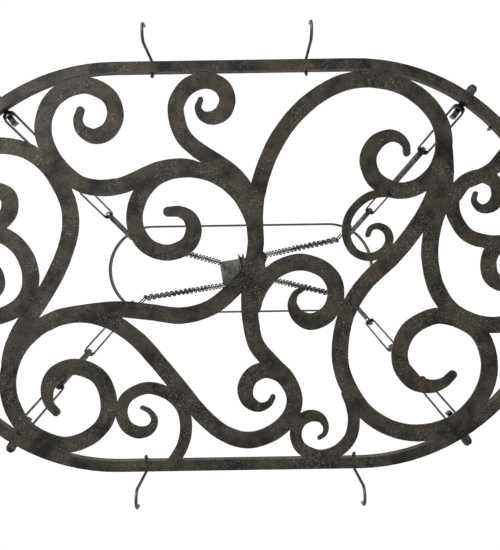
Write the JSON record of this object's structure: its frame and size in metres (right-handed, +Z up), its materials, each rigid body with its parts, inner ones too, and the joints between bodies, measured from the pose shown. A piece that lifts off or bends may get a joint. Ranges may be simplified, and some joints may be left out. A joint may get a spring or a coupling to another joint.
{
  "type": "ceiling mounted pulley rack",
  "caption": "Oval scroll-work pot rack hung by flat links, a hoop and chains from a ceiling plate that carries a grooved pulley, with wire pot hooks on its rim",
  "frame": {"origin": "centre of the ceiling plate's top face", "axes": "+Z up to the ceiling, +X along the rack's long side, +Y across the rack"},
  "size_m": [1.0109, 0.6754, 1.2196],
  "materials": {
    "dark_iron": "satin, mottled dark brown",
    "strip_steel": "satin with dark edges",
    "chain_steel": "dark satin",
    "plate_steel": "mottled grey",
    "pulley_iron": "dark satin",
    "hook_steel": "dark satin"
  },
  "bodies": {
    "ceiling": {"ceiling_plate": "plate_steel", "ceiling_screw_1": "pulley_iron", "ceiling_screw_2": "pulley_iron", "corner_eye_1": "chain_steel", "corner_eye_2": "chain_steel", "corner_eye_3": "chain_steel", "corner_eye_4": "chain_steel", "pulley_bracket": "pulley_iron", "pulley_axle": "pulley_iron"},
    "sheave": {"pulley_sheave": "pulley_iron"},
    "hoop": {"hoop": "strip_steel", "hoop_hook_1": "chain_steel", "hoop_hook_2": "chain_steel", "hoop_hook_3": "chain_steel", "hoop_hook_4": "chain_steel"},
    "rack": {"rack_ring": "dark_iron", "hanger_lug_1": "strip_steel", "hanger_lug_2": "strip_steel", "hanger_lug_3": "strip_steel", "hanger_lug_4": "strip_steel", "scroll_arch": "dark_iron", "scroll_bottom": "dark_iron", "scroll_bottom_left": "dark_iron", "scroll_bottom_right": "dark_iron", "scroll_inner_left": "dark_iron", "scroll_inner_right": "dark_iron", "scroll_left": "dark_iron", "scroll_left_end": "dark_iron", "scroll_left_small": "dark_iron", "scroll_long": "dark_iron", "scroll_low_link": "dark_iron", "scroll_right": "dark_iron", "scroll_right_brace": "dark_iron", "scroll_right_end": "dark_iron", "scroll_right_small": "dark_iron", "scroll_slim": "dark_iron", "scroll_top": "dark_iron", "scroll_top_left": "dark_iron"},
    "chain_1": {"upper_chain_1": "chain_steel"},
    "links_1": {"flat_links_1": "strip_steel"},
    "chain_2": {"upper_chain_2": "chain_steel"},
    "links_2": {"flat_links_2": "strip_steel"},
    "chain_3": {"upper_chain_3": "chain_steel"},
    "links_3": {"flat_links_3": "strip_steel"},
    "chain_4": {"upper_chain_4": "chain_steel"},
    "links_4": {"flat_links_4": "strip_steel"},
    "pot_hook_1": {"pot_hook_1": "hook_steel"},
    "pot_hook_2": {"pot_hook_2": "hook_steel"},
    "pot_hook_3": {"pot_hook_3": "hook_steel"},
    "pot_hook_4": {"pot_hook_4": "hook_steel"},
    "pot_hook_5": {"pot_hook_5": "hook_steel"},
    "pot_hook_6": {"pot_hook_6": "hook_steel"},
    "pot_hook_7": {"pot_hook_7": "hook_steel"},
    "pot_hook_8": {"pot_hook_8": "hook_steel"}
  },
  "joints": [
    {"name": "sheave_spin", "type": "hinge", "parent": "ceiling", "child": "sheave", "pos_m": [0, 0, -0.067], "axis": [0.989, -0.1478, 0], "continuous": true},
    {"name": "hoop_sway", "type": "hinge", "parent": "ceiling", "child": "hoop", "pos_m": [0, 0, 0.2251], "axis": [0, 1, 0], "range_deg": [-2, 2]},
    {"name": "chain_1_swing", "type": "hinge", "parent": "ceiling", "child": "chain_1", "pos_m": [0.0653, -0.0471, -0.021], "axis": [0, 1, 0], "range_deg": [-3.2, 3.2]},
    {"name": "chain_2_swing", "type": "hinge", "parent": "ceiling", "child": "chain_2", "pos_m": [0.0761, 0.0268, -0.021], "axis": [0, 1, 0], "range_deg": [-3.2, 3.2]},
    {"name": "chain_3_swing", "type": "hinge", "parent": "ceiling", "child": "chain_3", "pos_m": [-0.0761, -0.0268, -0.021], "axis": [0, 1, 0], "range_deg": [-3.2, 3.2]},
    {"name": "chain_4_swing", "type": "hinge", "parent": "ceiling", "child": "chain_4", "pos_m": [-0.0653, 0.0471, -0.021], "axis": [0, 1, 0], "range_deg": [-3.2, 3.2]},
    {"name": "rack_sway", "type": "hinge", "parent": "hoop", "child": "rack", "pos_m": [0, 0, -0.3485], "axis": [1, 0, 0], "range_deg": [-1.5, 1.5]},
    {"name": "links_1_swing", "type": "hinge", "parent": "hoop", "child": "links_1", "pos_m": [0.2523, -0.0767, -0.6031], "axis": [1, 0, 0], "range_deg": [-2.6, 2.6]},
    {"name": "links_2_swing", "type": "hinge", "parent": "hoop", "child": "links_2", "pos_m": [0.2527, 0.0764, -0.603], "axis": [1, 0, 0], "range_deg": [-2.6, 2.6]},
    {"name": "links_3_swing", "type": "hinge", "parent": "hoop", "child": "links_3", "pos_m": [-0.2523, -0.0767, -0.6031], "axis": [1, 0, 0], "range_deg": [-2.6, 2.6]},
    {"name": "links_4_swing", "type": "hinge", "parent": "hoop", "child": "links_4", "pos_m": [-0.2527, 0.0764, -0.603], "axis": [1, 0, 0], "range_deg": [-2.6, 2.6]},
    {"name": "pot_hook_1_swing", "type": "hinge", "parent": "rack", "child": "pot_hook_1", "pos_m": [-0.122, -0.297, -1.1293], "axis": [-1, 0, 0], "range_deg": [-3, 6]},
    {"name": "pot_hook_2_swing", "type": "hinge", "parent": "rack", "child": "pot_hook_2", "pos_m": [0.11, -0.297, -1.1293], "axis": [-1, 0, 0], "range_deg": [-3, 6]},
    {"name": "pot_hook_3_swing", "type": "hinge", "parent": "rack", "child": "pot_hook_3", "pos_m": [-0.14, 0.297, -1.1293], "axis": [1, 0, 0], "range_deg": [-3, 6]},
    {"name": "pot_hook_4_swing", "type": "hinge", "parent": "rack", "child": "pot_hook_4", "pos_m": [0.173, 0.297, -1.1293], "axis": [1, 0, 0], "range_deg": [-3, 6]},
    {"name": "pot_hook_5_swing", "type": "hinge", "parent": "rack", "child": "pot_hook_5", "pos_m": [0.3916, -0.2063, -1.1293], "axis": [-0.6947, -0.7193, 0], "range_deg": [-3, 6]},
    {"name": "pot_hook_6_swing", "type": "hinge", "parent": "rack", "child": "pot_hook_6", "pos_m": [0.4685, 0.0617, -1.1293], "axis": [0.2079, -0.9781, 0], "range_deg": [-3, 6]},
    {"name": "pot_hook_7_swing", "type": "hinge", "parent": "rack", "child": "pot_hook_7", "pos_m": [-0.4635, -0.0819, -1.1293], "axis": [-0.2756, 0.9613, 0], "range_deg": [-3, 6]},
    {"name": "pot_hook_8_swing", "type": "hinge", "parent": "rack", "child": "pot_hook_8", "pos_m": [-0.4493, 0.1208, -1.1293], "axis": [0.4067, 0.9135, 0], "range_deg": [-3, 6]}
  ],
  "couplings": [
    {"joint": "chain_1_swing", "follows": "hoop_sway", "ratio": 1.4549},
    {"joint": "chain_2_swing", "follows": "hoop_sway", "ratio": 1.4549},
    {"joint": "chain_3_swing", "follows": "hoop_sway", "ratio": 1.4549},
    {"joint": "chain_4_swing", "follows": "hoop_sway", "ratio": 1.4549},
    {"joint": "links_1_swing", "follows": "rack_sway", "ratio": 1.4822},
    {"joint": "links_2_swing", "follows": "rack_sway", "ratio": 1.4819},
    {"joint": "links_3_swing", "follows": "rack_sway", "ratio": 1.4822},
    {"joint": "links_4_swing", "follows": "rack_sway", "ratio": 1.4819}
  ]
}
